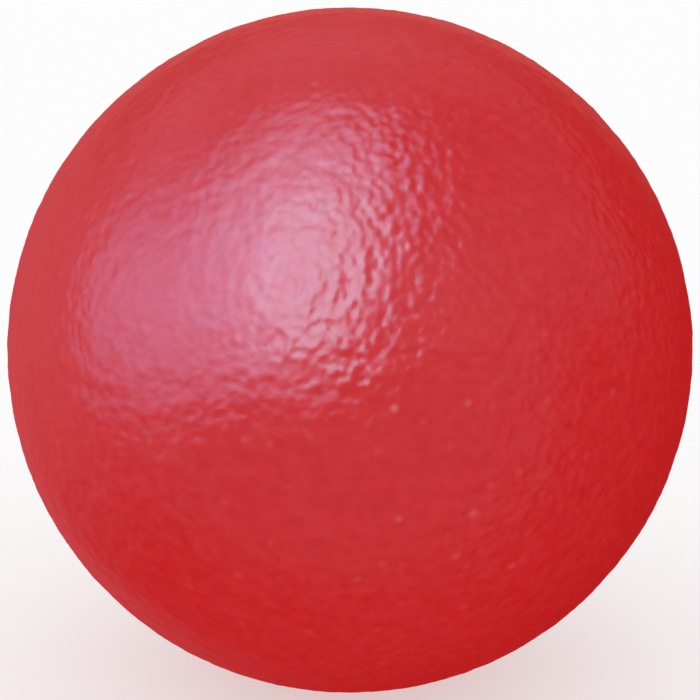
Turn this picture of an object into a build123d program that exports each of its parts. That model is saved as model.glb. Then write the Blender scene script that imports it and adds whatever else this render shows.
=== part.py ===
from build123d import *
from math import acos, degrees
import os

# Coated foam dodgeball: a foam core, the coat that seals it and a seamless skin
# Sizes are in millimetres, the origin is the centre of the ball and +Z is up
# The ball is drawn lying on a level floor, where its weight presses its underside flat

# Driving dimensions
ball_diameter = 177.8  # the 7 inch size of foam dodgeball rules
skin_thickness = 0.8  # coloured elastomer, sprayed on in several passes
seal_coat_thickness = 0.3  # first coat, which closes the open cells of the foam
foot_depth = 0.5  # how far the underside is pressed flat

# Outside radius of each layer, from the skin inwards
skin_radius = ball_diameter / 2
seal_coat_radius = skin_radius - skin_thickness
core_radius = seal_coat_radius - seal_coat_thickness


def half_section(radius):
    # Half of the upright section through a ball, from its crown down to its flat foot
    # Every layer gives by the same depth at the foot, so each keeps its thickness there
    foot_height = foot_depth - radius
    foot_edge_angle = degrees(acos(-foot_height / radius))
    with BuildSketch() as section:
        with BuildLine():
            side = CenterArc((0, 0), radius, foot_edge_angle - 90, 180 - foot_edge_angle)
            Polyline(side @ 1, (0, foot_height), side @ 0)
        make_face()
    return section.sketch


core_section = half_section(core_radius)
seal_coat_section = half_section(seal_coat_radius)
skin_section = half_section(skin_radius)

# Foam core: one moulded ball of soft open-celled foam
with BuildPart() as foam_core:
    with BuildSketch(Plane.XZ):
        add(core_section)
    revolve(axis=Axis.Z)
foam_core.part.label = "foam_core"

# Seal coat: the thin film bonded to the core all round, which the skin grips
with BuildPart() as seal_coat:
    with BuildSketch(Plane.XZ):
        add(seal_coat_section)
    revolve(axis=Axis.Z)
    with BuildSketch(Plane.XZ):
        add(core_section)
    revolve(axis=Axis.Z, mode=Mode.SUBTRACT)
seal_coat.part.label = "seal_coat"

# Skin: the tough coloured elastomer outside, with no seam and no valve
with BuildPart() as skin:
    with BuildSketch(Plane.XZ):
        add(skin_section)
    revolve(axis=Axis.Z)
    with BuildSketch(Plane.XZ):
        add(seal_coat_section)
    revolve(axis=Axis.Z, mode=Mode.SUBTRACT)
skin.part.label = "skin"

os.makedirs("parts", exist_ok=True)
for layer in (foam_core, seal_coat, skin):
    export_step(layer.part, f"parts/{layer.part.label}.step")
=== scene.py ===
import math

import bpy
from mathutils import Matrix, Vector


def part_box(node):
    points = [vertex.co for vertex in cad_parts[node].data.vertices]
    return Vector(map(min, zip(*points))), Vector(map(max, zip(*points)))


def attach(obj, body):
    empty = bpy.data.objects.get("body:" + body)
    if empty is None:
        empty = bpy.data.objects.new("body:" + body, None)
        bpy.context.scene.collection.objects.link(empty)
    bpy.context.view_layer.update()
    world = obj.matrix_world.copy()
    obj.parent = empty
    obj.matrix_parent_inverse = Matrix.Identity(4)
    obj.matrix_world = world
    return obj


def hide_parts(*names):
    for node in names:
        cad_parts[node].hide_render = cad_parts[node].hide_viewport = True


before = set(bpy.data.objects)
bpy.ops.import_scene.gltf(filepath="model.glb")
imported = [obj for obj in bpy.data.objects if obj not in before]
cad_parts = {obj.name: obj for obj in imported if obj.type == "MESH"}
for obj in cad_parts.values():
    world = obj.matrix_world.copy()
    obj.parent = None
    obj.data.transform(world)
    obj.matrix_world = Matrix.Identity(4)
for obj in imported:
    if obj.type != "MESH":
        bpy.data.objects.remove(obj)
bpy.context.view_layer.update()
mm = 0.001

# the ball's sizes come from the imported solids, in metres
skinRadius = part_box("skin")[1].z
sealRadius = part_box("seal_coat")[1].z
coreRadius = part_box("foam_core")[1].z
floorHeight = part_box("skin")[0].z
footDepth = skinRadius + floorHeight
print(f"frame: ball {2 * skinRadius / mm:.1f} mm across, foot pressed {footDepth / mm:.2f} mm flat")


def linearColour(code):
    # sRGB hex to linear, with full alpha
    shares = [int(code[i:i + 2], 16) / 255 for i in (1, 3, 5)]
    return [c / 12.92 if c <= 0.04045 else ((c + 0.055) / 1.055) ** 2.4 for c in shares] + [1]


def addNode(tree, kind, settings=None, inputs=None):
    # one node, its settings, and its inputs as plain values or as links from other sockets
    node = tree.nodes.new(kind)
    for name, value in (settings or {}).items():
        setattr(node, name, value)
    for socket, value in (inputs or {}).items():
        if isinstance(value, bpy.types.NodeSocket):
            tree.links.new(value, node.inputs[socket])
        else:
            node.inputs[socket].default_value = value
    return node


# Camera: the photo's angle, from a little above, with the round ball filling the frame
camera = {
    "elevation": 18,  # degrees above the horizon
    "distance": 0.9,
    "sensor": 36,  # mm
    "frame": 700,  # pixels across
    "ballRadius": 342.5,  # pixels, the mean of the outline's two half-widths
}

rise = math.radians(camera["elevation"])
towardCamera = Vector((0, -math.cos(rise), math.sin(rise)))
cameraTurn = towardCamera.to_track_quat("Z", "Y").to_matrix()
spread = math.tan(math.asin(skinRadius / camera["distance"]))
cameraData = bpy.data.cameras.new("ball_camera")
cameraData.sensor_width = camera["sensor"]
cameraData.lens = camera["sensor"] * camera["ballRadius"] / camera["frame"] / spread
cameraObject = bpy.data.objects.new("ball_camera", cameraData)
cameraObject.matrix_world = Matrix.Translation(towardCamera * camera["distance"]) @ cameraTurn.to_4x4()
bpy.context.scene.collection.objects.link(cameraObject)
bpy.context.scene.camera = cameraObject
print(f"camera: {cameraData.lens:.0f} mm lens, {camera['elevation']} degrees up")


# Skin material: polyurethane elastomer, sprayed on in coats and left to level
# To the eye: one even strong red, a satin gloss that the orange peel breaks up, and a faint bloom at the rim
skinFinish = {
    "red": "#CE2324",
    "deepRed": "#C91C1D",
    "nib": "#D65C61",  # paler over a nib: partly the thin coat there, partly a painted glint where the nib catches the light
    "blotch": 3.2,  # mm, faint mottling where the coats differ
    "blotchRange": (0.35, 0.65),  # part of the noise that runs from deep red to red
    "ior": 1.5,
    "roughness": (0.16, 0.24),
    "shinePatch": 5,  # mm, patches of more and less gloss
    "shineRange": (0.3, 0.7),  # part of the noise that runs from smooth to dull
    "glossTint": "#BCE7FF",  # cool cast of the gloss head on: partly haze in the top of the coat, partly the window light's cool colour put into the gloss
    "grain": 0.9,  # mm, spray grain between the wrinkles
    "grainHeight": 0.03,  # mm
    "bloom": 0.65,  # red sheen that keeps the rim from going dark
    "bloomRoughness": 0.4,
    "bloomRed": "#FF2A2C",
}


def skinMaterial():
    material = bpy.data.materials.new("sprayed_polyurethane_elastomer")
    material.use_nodes = True
    tree = material.node_tree
    shader = tree.nodes["Principled BSDF"]
    place = addNode(tree, "ShaderNodeTexCoord").outputs["Object"]
    blotch = addNode(tree, "ShaderNodeTexNoise", None, {
        "Vector": place, "Scale": 1 / (skinFinish["blotch"] * mm), "Detail": 1})
    deepAt, redAt = skinFinish["blotchRange"]
    mottle = addNode(tree, "ShaderNodeMapRange", None, {
        "Value": blotch.outputs["Fac"], "From Min": deepAt, "From Max": redAt})
    colour = addNode(tree, "ShaderNodeMix", {"data_type": "RGBA"}, {
        "Factor": mottle.outputs["Result"],
        "A": linearColour(skinFinish["deepRed"]), "B": linearColour(skinFinish["red"])})
    # each nib is painted paler: partly the thin coat over it, partly a painted glint
    nib = addNode(tree, "ShaderNodeAttribute", {"attribute_name": "nib"})
    nibSpeckAndPaintedGlint = addNode(tree, "ShaderNodeMix", {"data_type": "RGBA"}, {
        "Factor": nib.outputs["Fac"], "A": colour.outputs["Result"], "B": linearColour(skinFinish["nib"])})
    shine = addNode(tree, "ShaderNodeTexNoise", None, {
        "Vector": place, "Scale": 1 / (skinFinish["shinePatch"] * mm), "Detail": 2})
    smooth, dull = skinFinish["roughness"]
    smoothAt, dullAt = skinFinish["shineRange"]
    roughness = addNode(tree, "ShaderNodeMapRange", None, {
        "Value": shine.outputs["Fac"], "From Min": smoothAt, "From Max": dullAt,
        "To Min": smooth, "To Max": dull})
    grain = addNode(tree, "ShaderNodeTexNoise", None, {
        "Vector": place, "Scale": 1 / (skinFinish["grain"] * mm), "Detail": 1})
    bump = addNode(tree, "ShaderNodeBump", None, {
        "Height": grain.outputs["Fac"], "Distance": skinFinish["grainHeight"] * mm, "Strength": 1})
    tree.links.new(nibSpeckAndPaintedGlint.outputs["Result"], shader.inputs["Base Color"])
    tree.links.new(roughness.outputs["Result"], shader.inputs["Roughness"])
    tree.links.new(bump.outputs["Normal"], shader.inputs["Normal"])
    shader.inputs["IOR"].default_value = skinFinish["ior"]
    # the gloss tint carries part of the window light's cool colour
    shader.inputs["Specular Tint"].default_value = linearColour(skinFinish["glossTint"])
    shader.inputs["Sheen Weight"].default_value = skinFinish["bloom"]
    shader.inputs["Sheen Roughness"].default_value = skinFinish["bloomRoughness"]
    shader.inputs["Sheen Tint"].default_value = linearColour(skinFinish["bloomRed"])
    return material


# Seal coat material: thinned polyurethane brushed into the foam
# To the eye: a dull film, a little paler than the skin, with the foam's cells just showing through as dips,
# the colour darker in each dip: painted shade
sealFinish = {
    "film": "#CF7F77",
    # painted shade in the film's dip over each cell
    "overCell": "#B9645E",
    "cell": 1.1,  # mm, foam cells that show through
    "wallShare": 0.35,  # of a cell, over which its wall falls away
    "dip": 0.05,  # mm
    "roughness": 0.6,
}

# Foam material: open-celled polyurethane foam, moulded in one ball
# To the eye: dry and matt, straw-coloured walls round cells that darken towards their middle: painted shade
# in the cell hollows
foamFinish = {
    "wall": "#EBDDB6",
    # painted shade at the bottom of each cell
    "hollow": "#B39B69",
    "cell": 1.1,  # mm
    "wallShare": 0.35,
    "dip": 0.3,  # mm
    "roughness": 0.95,
}


def cellMaterial(name, finish, wall, hollow):
    # foam cells as rounded hollows between thin walls, the colour darkening towards each hollow's middle:
    # painted shade in the hollows
    material = bpy.data.materials.new(name)
    material.use_nodes = True
    tree = material.node_tree
    shader = tree.nodes["Principled BSDF"]
    place = addNode(tree, "ShaderNodeTexCoord").outputs["Object"]
    cell = addNode(tree, "ShaderNodeTexVoronoi", {"feature": "DISTANCE_TO_EDGE"}, {
        "Vector": place, "Scale": 1 / (finish["cell"] * mm)})
    depth = addNode(tree, "ShaderNodeMapRange", {"interpolation_type": "SMOOTHSTEP"}, {
        "Value": cell.outputs["Distance"], "From Max": finish["wallShare"]})
    colour = addNode(tree, "ShaderNodeMix", {"data_type": "RGBA"}, {
        "Factor": depth.outputs["Result"],
        "A": linearColour(finish[wall]), "B": linearColour(finish[hollow])})
    bump = addNode(tree, "ShaderNodeBump", {"invert": True}, {
        "Height": depth.outputs["Result"], "Distance": finish["dip"] * mm, "Strength": 1})
    tree.links.new(colour.outputs["Result"], shader.inputs["Base Color"])
    tree.links.new(bump.outputs["Normal"], shader.inputs["Normal"])
    shader.inputs["Roughness"].default_value = finish["roughness"]
    return material


# One layer of the ball: a quad sphere pressed flat at its foot, with wrinkles, nibs and an inner wall
layerInputs = {
    "Radius": "NodeSocketFloat",
    "Inner Radius": "NodeSocketFloat",
    "Foot Depth": "NodeSocketFloat",
    "Foot Blend": "NodeSocketFloat",
    "Outer Grid": "NodeSocketInt",
    "Inner Grid": "NodeSocketInt",
    "Wrinkle Size": "NodeSocketFloat",
    "Wrinkle Height": "NodeSocketFloat",
    "Peel Side": "NodeSocketVector",
    "Calm Share": "NodeSocketFloat",
    "Swell Size": "NodeSocketFloat",
    "Swell Height": "NodeSocketFloat",
    "Nib Spacing": "NodeSocketFloat",
    "Nib Radius": "NodeSocketFloat",
    "Nib Height": "NodeSocketFloat",
    "Seed": "NodeSocketInt",
    "Marks": "NodeSocketObject",
    "Finish": "NodeSocketMaterial",
}


def layerTree():
    tree = bpy.data.node_groups.new("ball_layer", "GeometryNodeTree")
    tree.interface.new_socket("Geometry", in_out="OUTPUT", socket_type="NodeSocketGeometry")
    for name, kind in layerInputs.items():
        tree.interface.new_socket(name, in_out="INPUT", socket_type=kind)
    given = addNode(tree, "NodeGroupInput").outputs
    position = addNode(tree, "GeometryNodeInputPosition").outputs["Position"]

    # every cube point goes to the sphere along even angles, so that the quads stay alike
    angle = addNode(tree, "ShaderNodeVectorMath", {"operation": "SCALE"}, {
        0: position, "Scale": math.pi / 4})
    evened = addNode(tree, "ShaderNodeVectorMath", {"operation": "TANGENT"}, {0: angle.outputs[0]})
    way = addNode(tree, "ShaderNodeVectorMath", {"operation": "NORMALIZE"}, {0: evened.outputs[0]}).outputs[0]
    onBall = addNode(tree, "ShaderNodeVectorMath", {"operation": "SCALE"}, {
        0: way, "Scale": given["Radius"]}).outputs[0]

    # orange peel, highest on one side of the ball, and slower swells, as heights about the true radius
    calmAt, fullAt = 0.7, 0.82  # cosines of the angle from the peel side
    wrinkleDetail, swellDetail = 0.5, 1
    towardPeel = addNode(tree, "ShaderNodeVectorMath", {"operation": "DOT_PRODUCT"}, {
        0: way, 1: given["Peel Side"]})
    peel = addNode(tree, "ShaderNodeMapRange", {"interpolation_type": "SMOOTHSTEP"}, {
        "Value": towardPeel.outputs["Value"], "From Min": calmAt, "From Max": fullAt,
        "To Min": given["Calm Share"], "To Max": 1}).outputs["Result"]
    heights = []
    for label, detail, share in (("Wrinkle", wrinkleDetail, peel), ("Swell", swellDetail, 1)):
        scale = addNode(tree, "ShaderNodeMath", {"operation": "DIVIDE"}, {
            0: 1, 1: given[f"{label} Size"]})
        noise = addNode(tree, "ShaderNodeTexNoise", {"noise_dimensions": "4D"}, {
            "Vector": onBall, "W": given["Seed"], "Scale": scale.outputs[0], "Detail": detail})
        centred = addNode(tree, "ShaderNodeMath", {"operation": "SUBTRACT"}, {
            0: noise.outputs["Fac"], 1: 0.5})
        raised = addNode(tree, "ShaderNodeMath", {"operation": "MULTIPLY"}, {
            0: centred.outputs[0], 1: given[f"{label} Height"]})
        heights.append(addNode(tree, "ShaderNodeMath", {"operation": "MULTIPLY"}, {
            0: raised.outputs[0], 1: share}).outputs[0])

    # nibs: faint ones scattered all over and plain ones at the marks, each with its own strength
    faintest, plainest = 0.04, 0.22
    tries = 20000  # per square metre, more than the spacing lets in
    scatterBall = addNode(tree, "GeometryNodeMeshIcoSphere", None, {
        "Radius": given["Radius"], "Subdivisions": 6})
    scatter = addNode(tree, "GeometryNodeDistributePointsOnFaces", {"distribute_method": "POISSON"}, {
        "Mesh": scatterBall.outputs["Mesh"], "Distance Min": given["Nib Spacing"],
        "Density Max": tries, "Seed": given["Seed"]})
    marked = addNode(tree, "GeometryNodeObjectInfo", None, {"Object": given["Marks"]})
    markedPoints = addNode(tree, "GeometryNodeMeshToPoints", None, {"Mesh": marked.outputs["Geometry"]})
    faint = addNode(tree, "FunctionNodeRandomValue", {"data_type": "FLOAT"}, {
        "Min": faintest, "Max": plainest, "Seed": given["Seed"]})
    scattered = addNode(tree, "GeometryNodeStoreNamedAttribute", {
        "data_type": "FLOAT", "domain": "POINT"}, {
        "Geometry": scatter.outputs["Points"], "Name": "strength", "Value": faint.outputs["Value"]})
    nibs = addNode(tree, "GeometryNodeJoinGeometry")
    tree.links.new(scattered.outputs[0], nibs.inputs[0])
    tree.links.new(markedPoints.outputs["Points"], nibs.inputs[0])
    reach = addNode(tree, "GeometryNodeProximity", {"target_element": "POINTS"}, {
        0: nibs.outputs[0], "Sample Position": onBall})
    nearest = addNode(tree, "GeometryNodeSampleNearest", {"domain": "POINT"}, {
        "Geometry": nibs.outputs[0], "Sample Position": onBall})
    strength = addNode(tree, "GeometryNodeInputNamedAttribute", {"data_type": "FLOAT"}, {"Name": "strength"})
    ownStrength = addNode(tree, "GeometryNodeSampleIndex", {"data_type": "FLOAT", "domain": "POINT"}, {
        "Geometry": nibs.outputs[0], "Value": strength.outputs[0], "Index": nearest.outputs["Index"]})
    nib = addNode(tree, "ShaderNodeMapRange", {"interpolation_type": "SMOOTHSTEP"}, {
        "Value": reach.outputs["Distance"], "From Max": given["Nib Radius"],
        "To Min": ownStrength.outputs[0], "To Max": 0}).outputs["Result"]
    heights.append(addNode(tree, "ShaderNodeMath", {"operation": "MULTIPLY"}, {
        0: nib, 1: given["Nib Height"]}).outputs[0])

    outerReach = given["Radius"]
    for height in heights:
        outerReach = addNode(tree, "ShaderNodeMath", {"operation": "ADD"}, {
            0: outerReach, 1: height}).outputs[0]

    # the outside and the inside are pressed flat by the same depth, and the inside is turned to face inwards
    walls = addNode(tree, "GeometryNodeJoinGeometry")
    for wall, reached in (("", outerReach), ("Inner ", given["Inner Radius"])):
        cube = addNode(tree, "GeometryNodeMeshCube", None, {"Size": (2, 2, 2)})
        for side in ("Vertices X", "Vertices Y", "Vertices Z"):
            tree.links.new(given["Inner Grid" if wall else "Outer Grid"], cube.inputs[side])
        placed = addNode(tree, "ShaderNodeVectorMath", {"operation": "SCALE"}, {0: way, "Scale": reached})
        parts = addNode(tree, "ShaderNodeSeparateXYZ", None, {0: placed.outputs[0]})
        foot = addNode(tree, "ShaderNodeMath", {"operation": "SUBTRACT"}, {
            0: given["Foot Depth"], 1: given[f"{wall}Radius"]})
        pressed = addNode(tree, "ShaderNodeMath", {"operation": "SMOOTH_MAX"}, {
            0: parts.outputs["Z"], 1: foot.outputs[0], 2: given["Foot Blend"]})
        settled = addNode(tree, "ShaderNodeCombineXYZ", None, {
            "X": parts.outputs["X"], "Y": parts.outputs["Y"], "Z": pressed.outputs[0]})
        shaped = addNode(tree, "GeometryNodeSetPosition", None, {
            "Geometry": cube.outputs["Mesh"], "Position": settled.outputs[0]}).outputs[0]
        if wall:
            turned = addNode(tree, "GeometryNodeFlipFaces", None, {"Mesh": shaped})
            hollow = addNode(tree, "ShaderNodeMath", {"operation": "GREATER_THAN"}, {
                0: given["Inner Radius"], 1: 0})
            shaped = addNode(tree, "GeometryNodeSwitch", {"input_type": "GEOMETRY"}, {
                "Switch": hollow.outputs[0], "True": turned.outputs[0]}).outputs[0]
        else:
            # the nib share goes to the material, which paints each nib paler, partly as a painted glint
            shaped = addNode(tree, "GeometryNodeStoreNamedAttribute", {
                "data_type": "FLOAT", "domain": "POINT"}, {
                "Geometry": shaped, "Name": "nib", "Value": nib}).outputs[0]
        tree.links.new(shaped, walls.inputs[0])
    smooth = addNode(tree, "GeometryNodeSetShadeSmooth", None, {0: walls.outputs[0]})
    real = addNode(tree, "GeometryNodeRealizeInstances", None, {0: smooth.outputs[0]})
    finished = addNode(tree, "GeometryNodeSetMaterial", None, {
        0: real.outputs[0], "Material": given["Finish"]})
    addNode(tree, "NodeGroupOutput", None, {0: finished.outputs[0]})
    return tree


def layerPiece(name, tree, values):
    # the tree is evaluated once and its result kept as a plain mesh
    holder = bpy.data.objects.new("holder", bpy.data.meshes.new("holder"))
    bpy.context.scene.collection.objects.link(holder)
    modifier = holder.modifiers.new("layer", "NODES")
    modifier.node_group = tree
    for socket in tree.interface.items_tree:
        if socket.in_out == "INPUT" and socket.name in values:
            modifier[socket.identifier] = values[socket.name]
    bpy.context.view_layer.update()
    evaluated = holder.evaluated_get(bpy.context.evaluated_depsgraph_get())
    mesh = bpy.data.meshes.new_from_object(evaluated)
    bpy.data.objects.remove(holder)
    mesh.name = name
    piece = bpy.data.objects.new(name, mesh)
    bpy.context.scene.collection.objects.link(piece)
    print(f"{name}: {len(mesh.polygons)} faces")
    return piece


# Skin: the orange peel is real shape, the spray grain is left to the material
skin = {
    "grid": 250,
    "innerGrid": 64,
    "wrinkle": (2.1, 0.6),  # mm, size and height
    "swell": (5.5, 0.55),  # mm
    "peelSide": (0.5, 0.15, 0.85),  # right, up and toward the camera, where the peel stands highest
    "calmShare": 0.5,  # of that height, where the coat levelled better
    "nib": (1.6, 0.2),  # mm, radius and height of a speck under the last coat
    "nibSpacing": 14,  # mm
    "footBlend": 0.3,  # mm, soft edge of the pressed foot
    "seed": 4,
    # pixels of the photo where a nib shows, and how plainly
    "nibPixels": [
        (395, 408, 0.9), (470, 402, 0.5), (400, 516, 0.5), (475, 511, 0.5), (515, 562, 0.5),
        (458, 553, 0.35), (452, 445, 0.2), (523, 470, 0.25), (493, 484, 0.2), (383, 560, 0.25),
        (378, 450, 0.2), (188, 419, 0.3), (146, 441, 0.3), (86, 408, 0.3), (243, 438, 0.3),
        (269, 443, 0.3), (308, 434, 0.3)],
    "outlineCentre": (350, 350),  # pixels
    "outlineHalf": (348.5, 336.5),  # pixels, half the width and half the height
}


def markedSpots():
    # the photo's nibs, carried along the camera's rays to the ball
    centreX, centreY = skin["outlineCentre"]
    halfX, halfY = skin["outlineHalf"]
    spots = []
    for x, y, strength in skin["nibPixels"]:
        across = (x - centreX) / halfX * spread
        up = (centreY - y) / halfY * spread
        ray = Vector((across, up, -1)).normalized()
        middle = -camera["distance"] * ray.z
        along = middle - math.sqrt(middle ** 2 - camera["distance"] ** 2 + skinRadius ** 2)
        spots.append(cameraTurn @ (Vector((0, 0, camera["distance"])) + ray * along))
    mesh = bpy.data.meshes.new("nib_marks")
    mesh.from_pydata(spots, [], [])
    strengths = mesh.attributes.new("strength", "FLOAT", "POINT")
    strengths.data.foreach_set("value", [strength for x, y, strength in skin["nibPixels"]])
    marks = bpy.data.objects.new("nib_marks", mesh)
    bpy.context.scene.collection.objects.link(marks)
    return marks


ballLayer = layerTree()
marks = markedSpots()
wrinkledSkin = layerPiece("wrinkled_skin", ballLayer, {
    "Radius": skinRadius, "Inner Radius": sealRadius, "Foot Depth": footDepth,
    "Foot Blend": skin["footBlend"] * mm,
    "Outer Grid": skin["grid"], "Inner Grid": skin["innerGrid"],
    "Wrinkle Size": skin["wrinkle"][0] * mm, "Wrinkle Height": skin["wrinkle"][1] * mm,
    "Swell Size": skin["swell"][0] * mm, "Swell Height": skin["swell"][1] * mm,
    "Peel Side": cameraTurn @ Vector(skin["peelSide"]), "Calm Share": skin["calmShare"],
    "Nib Spacing": skin["nibSpacing"] * mm,
    "Nib Radius": skin["nib"][0] * mm, "Nib Height": skin["nib"][1] * mm,
    "Seed": skin["seed"], "Marks": marks, "Finish": skinMaterial()})
bpy.data.objects.remove(marks)
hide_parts("skin")
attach(wrinkledSkin, "root")

# Seal coat and foam core: hidden by the skin, each clear of its neighbours by a hair
inside = {
    "clear": 0.02,  # mm, on each side
    "footBlend": 0.3,  # mm
    "sealGrid": 110,
    "sealDimple": (1.6, 0.05),  # mm, size and height of the cells felt through the film
    "coreGrid": 125,
    "coreSwell": (12, 0.03),  # mm
    "nibSpacing": 1,  # m, wider than the ball, since neither has nibs
    "calmShare": 1.0,  # both are the same all round
    "seed": 11,
}

sealPiece = layerPiece("seal_film", ballLayer, {
    "Radius": sealRadius - (inside["clear"] + inside["sealDimple"][1] / 2) * mm,
    "Inner Radius": coreRadius + inside["clear"] * mm, "Foot Depth": footDepth,
    "Foot Blend": inside["footBlend"] * mm,
    "Outer Grid": inside["sealGrid"], "Inner Grid": skin["innerGrid"],
    "Wrinkle Size": inside["sealDimple"][0] * mm, "Wrinkle Height": inside["sealDimple"][1] * mm,
    "Swell Size": inside["coreSwell"][0] * mm,
    "Nib Spacing": inside["nibSpacing"], "Calm Share": inside["calmShare"], "Seed": inside["seed"],
    "Finish": cellMaterial("brushed_polyurethane_primer", sealFinish, "film", "overCell")})
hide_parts("seal_coat")
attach(sealPiece, "root")

foamPiece = layerPiece("foam_ball", ballLayer, {
    "Radius": coreRadius - (inside["clear"] + inside["coreSwell"][1] / 2) * mm, "Inner Radius": 0.0,
    "Foot Depth": footDepth, "Foot Blend": inside["footBlend"] * mm,
    "Outer Grid": inside["coreGrid"], "Inner Grid": 2,
    "Wrinkle Size": inside["sealDimple"][0] * mm,
    "Swell Size": inside["coreSwell"][0] * mm, "Swell Height": inside["coreSwell"][1] * mm,
    "Nib Spacing": inside["nibSpacing"], "Calm Share": inside["calmShare"], "Seed": inside["seed"],
    "Finish": cellMaterial("open_cell_polyurethane_foam", foamFinish, "wall", "hollow")})
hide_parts("foam_core")
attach(foamPiece, "root")


# Studio: a light tent for the even red, and softboxes that only the gloss mirrors
studio = {
    "floor": "#FAFAFA",
    "floorSize": 6,  # m
    "floorGlow": 0.5,  # share of the floor that stays white in the ball's shadow
    "tent": 1.0,  # as bright as white paper
    "dimSide": (0.45, -0.4, -0.8),  # right, up and toward the camera, where the tent is open
    "dimEdge": 0.7,  # cosine of the angle from there at which the dimming starts
    "dimShare": 0.3,  # of its brightness there
    "distance": 1.3,  # m, softboxes from the ball's centre
}

# each softbox: degrees to the right of and above the camera's line, half width and half height in degrees,
# share of the panel that fades out at its left, right, low and high edge, glow (1 is white paper), colour
softboxes = {
    "window_core": (-16, 31, 19, 33, (0.4, 0.05, 0.05, 0.45), 4, "#98FFEB"),
    "window": (-19, 36, 42, 57, (0.55, 0.55, 0.45, 0.55), 9.7, "#A6E5FF"),
    "window_corner": (6, 64, 16, 13, (0.5, 0.4, 0.5, 0.5), 0.9, "#B0E6FF"),
    "left_screen": (-61, 18, 48, 44, (0.6, 0.55, 0.5, 0.6), 6.2, "#96D8FF"),
    "upper_left_screen": (-105, 50, 30, 20, (0.5, 0.5, 0.5, 0.5), 0.45, "#CCE0FF"),
    "upper_right_screen": (112, 45, 30, 22, (0.5, 0.5, 0.5, 0.5), 0.22, "#E8F6FF"),
    "low_left_screen": (-45, -8, 26, 11, (0.5, 0.5, 0.4, 0.5), 0.9, "#E3DCFF"),
    "far_left_screen": (-99, 10, 57, 58, (0.6, 0.45, 0.55, 0.45), 0.7, "#F6F2FF"),
    "back_left_screen": (-156, -5, 26, 48, (0.6, 0.45, 0.5, 0.5), 0.2, "#F4EAFF"),
    "back_top_screen": (180, 25, 40, 22, (0.5, 0.5, 0.5, 0.5), 0.25, "#FFF6F0"),
    "overhead": (-90, 89.5, 60, 50, (0.5, 0.55, 0.45, 0.6), 0.78, "#EDF1FF"),
    "front_fill": (-2, -27, 77, 66, (0.35, 0.35, 0.55, 0.45), 0.49, "#DAFFFA"),
    "right_fill": (50, 27, 65, 39, (0.4, 0.6, 0.5, 0.45), 0.7, "#E0F9FF"),
}


def softbox(name, turn, lift, halfWidth, halfHeight, fades, glow, colour):
    # a panel with soft edges that only gloss mirrors
    turn, lift = math.radians(turn), math.radians(lift)
    level = math.cos(lift)
    way = cameraTurn @ Vector((math.sin(turn) * level, math.sin(lift), math.cos(turn) * level))
    upright = cameraTurn.col[1]
    up = (upright - way * upright.dot(way)).normalized()
    lamp = bpy.data.lights.new(name, "AREA")
    lamp.shape = "RECTANGLE"
    lamp.size = 2 * studio["distance"] * math.tan(math.radians(halfWidth))
    lamp.size_y = 2 * studio["distance"] * math.tan(math.radians(halfHeight))
    lamp.energy = math.pi * lamp.size * lamp.size_y * glow
    lamp.color = linearColour(colour)[:3]
    lamp.use_nodes = True
    tree = lamp.node_tree
    place = addNode(tree, "ShaderNodeNewGeometry").outputs["Parametric"]
    parts = addNode(tree, "ShaderNodeSeparateXYZ", None, {0: place}).outputs
    strength = 1
    for axis, edge, fade in zip("XXYY", (0, 1, 0, 1), fades):
        ramp = addNode(tree, "ShaderNodeMapRange", {"interpolation_type": "SMOOTHSTEP"}, {
            "Value": parts[axis], "From Min": edge, "From Max": abs(edge - fade)})
        strength = addNode(tree, "ShaderNodeMath", {"operation": "MULTIPLY"}, {
            0: strength, 1: ramp.outputs["Result"]}).outputs[0]
    tree.links.new(strength, tree.nodes["Emission"].inputs["Strength"])
    lampObject = bpy.data.objects.new(name, lamp)
    panelTurn = Matrix((up.cross(way), up, way)).transposed().to_4x4()
    lampObject.matrix_world = Matrix.Translation(way * studio["distance"]) @ panelTurn
    lampObject.visible_camera = False
    lampObject.visible_diffuse = False
    bpy.context.scene.collection.objects.link(lampObject)


for name, box in softboxes.items():
    softbox(name, *box)

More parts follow.
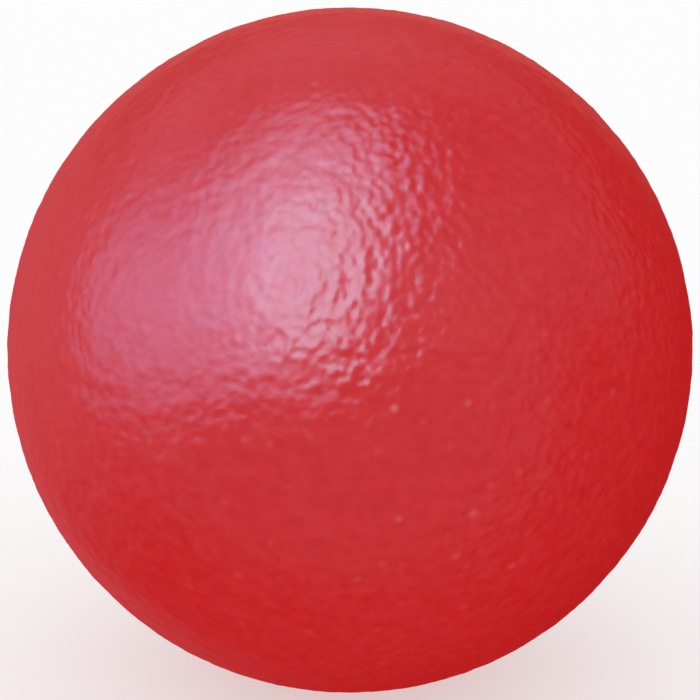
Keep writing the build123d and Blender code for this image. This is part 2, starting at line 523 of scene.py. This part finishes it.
world = bpy.data.worlds.new("light_tent")
world.use_nodes = True
tentTree = world.node_tree
tentTree.nodes["Background"].inputs["Color"].default_value = (1, 1, 1, 1)
tentWay = addNode(tentTree, "ShaderNodeTexCoord").outputs["Generated"]
toDim = addNode(tentTree, "ShaderNodeVectorMath", {"operation": "DOT_PRODUCT"}, {
    0: tentWay, 1: cameraTurn @ Vector(studio["dimSide"]).normalized()})
tentGlow = addNode(tentTree, "ShaderNodeMapRange", {"interpolation_type": "SMOOTHSTEP"}, {
    "Value": toDim.outputs["Value"], "From Min": studio["dimEdge"],
    "To Min": studio["tent"], "To Max": studio["tent"] * studio["dimShare"]})
tentRay = addNode(tentTree, "ShaderNodeLightPath").outputs["Is Camera Ray"]
tentSeen = addNode(tentTree, "ShaderNodeMath", {"operation": "MAXIMUM"}, {
    0: tentGlow.outputs["Result"], 1: tentRay})
tentTree.links.new(tentSeen.outputs[0], tentTree.nodes["Background"].inputs["Strength"])
bpy.context.scene.world = world
world.cycles_visibility.glossy = False

# Floor: matt white paper, part of it always white to the eye, so that the ball's shadow stays light
floorMaterial = bpy.data.materials.new("matt_white_paper")
floorMaterial.use_nodes = True
paperTree = floorMaterial.node_tree
paper = paperTree.nodes["Principled BSDF"]
paper.inputs["Base Color"].default_value = linearColour(studio["floor"])
paper.inputs["Roughness"].default_value = 1
paper.inputs["Specular IOR Level"].default_value = 0
white = addNode(paperTree, "ShaderNodeEmission", None, {"Color": (1, 1, 1, 1), "Strength": 1})
paperRay = addNode(paperTree, "ShaderNodeLightPath").outputs
toEye = paperRay["Is Camera Ray"]
for kind in ("Is Glossy Ray", "Is Transmission Ray"):
    toEye = addNode(paperTree, "ShaderNodeMath", {"operation": "MAXIMUM"}, {
        0: toEye, 1: paperRay[kind]}).outputs[0]
whiteShare = addNode(paperTree, "ShaderNodeMath", {"operation": "MULTIPLY"}, {
    0: toEye, 1: studio["floorGlow"]})
mixed = addNode(paperTree, "ShaderNodeMixShader", None, {
    0: whiteShare.outputs[0], 1: paper.outputs[0], 2: white.outputs[0]})
paperTree.links.new(mixed.outputs[0], paperTree.nodes["Material Output"].inputs["Surface"])
floorMesh = bpy.data.meshes.new("paper_floor")
half = studio["floorSize"] / 2
corners = [(-half, -half), (half, -half), (half, half), (-half, half)]
floorMesh.from_pydata([(x, y, floorHeight) for x, y in corners], [], [(0, 1, 2, 3)])
floorMesh.materials.append(floorMaterial)
floor = bpy.data.objects.new("paper_floor", floorMesh)
floor.visible_glossy = False  # the photo's ball mirrors no floor
floor.visible_diffuse = False  # nor is it shaded by one underneath
floor.visible_shadow = False
bpy.context.scene.collection.objects.link(floor)

bpy.context.scene.view_settings.view_transform = "Standard"
print("studio: light tent, softboxes and paper floor")
